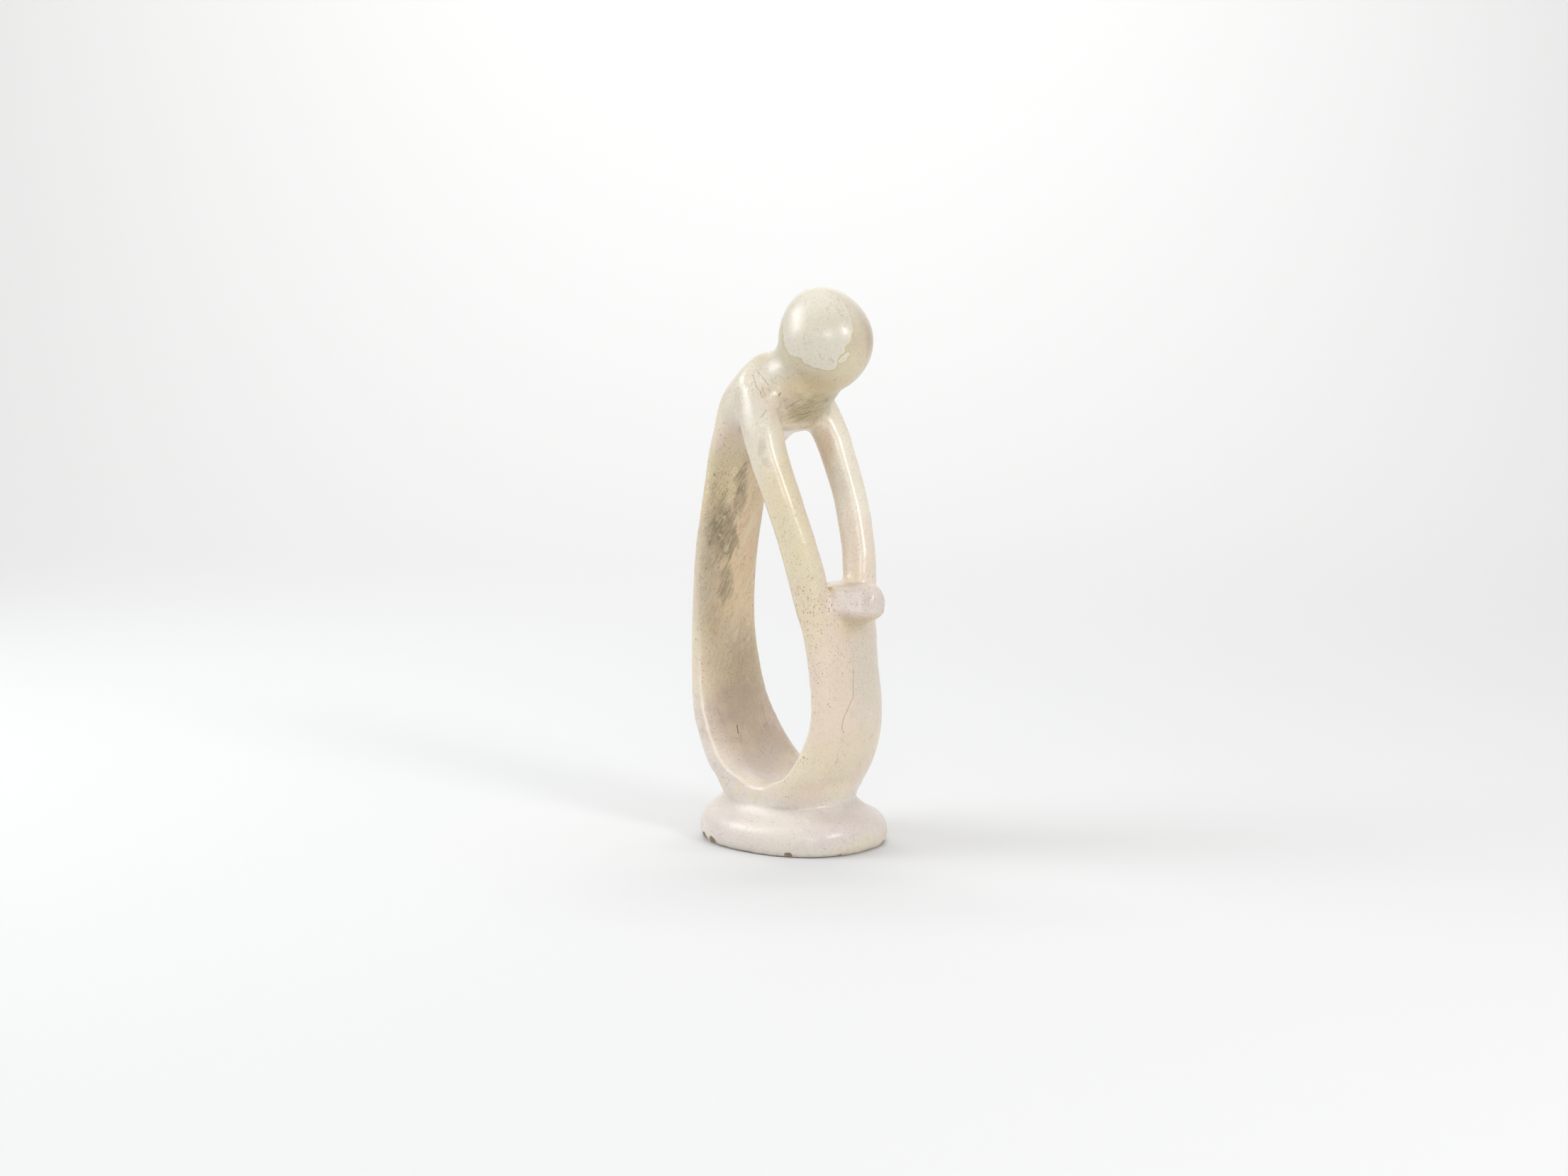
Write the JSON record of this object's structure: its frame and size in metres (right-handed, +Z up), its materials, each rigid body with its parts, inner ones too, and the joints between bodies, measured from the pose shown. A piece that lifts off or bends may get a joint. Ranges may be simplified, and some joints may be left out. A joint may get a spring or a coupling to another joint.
{
  "type": "abstract sculpture",
  "caption": "Carved soapstone figure, seated and bowed, whose back, seat and shins form a standing ring on a small oval plinth.",
  "frame": {"origin": "centre of the plinth's underside", "axes": "+Z up; the figure faces -Y, so its back is at +Y and its own left arm is at +X"},
  "size_m": [0.0749, 0.0969, 0.2499],
  "materials": {
    "soapstone": "hand-rubbed and waxed satin, cream with pink, ochre and grey-green clouding, small pits and flecks"
  },
  "bodies": {
    "root": {"figure": "soapstone"}
  },
  "joints": []
}
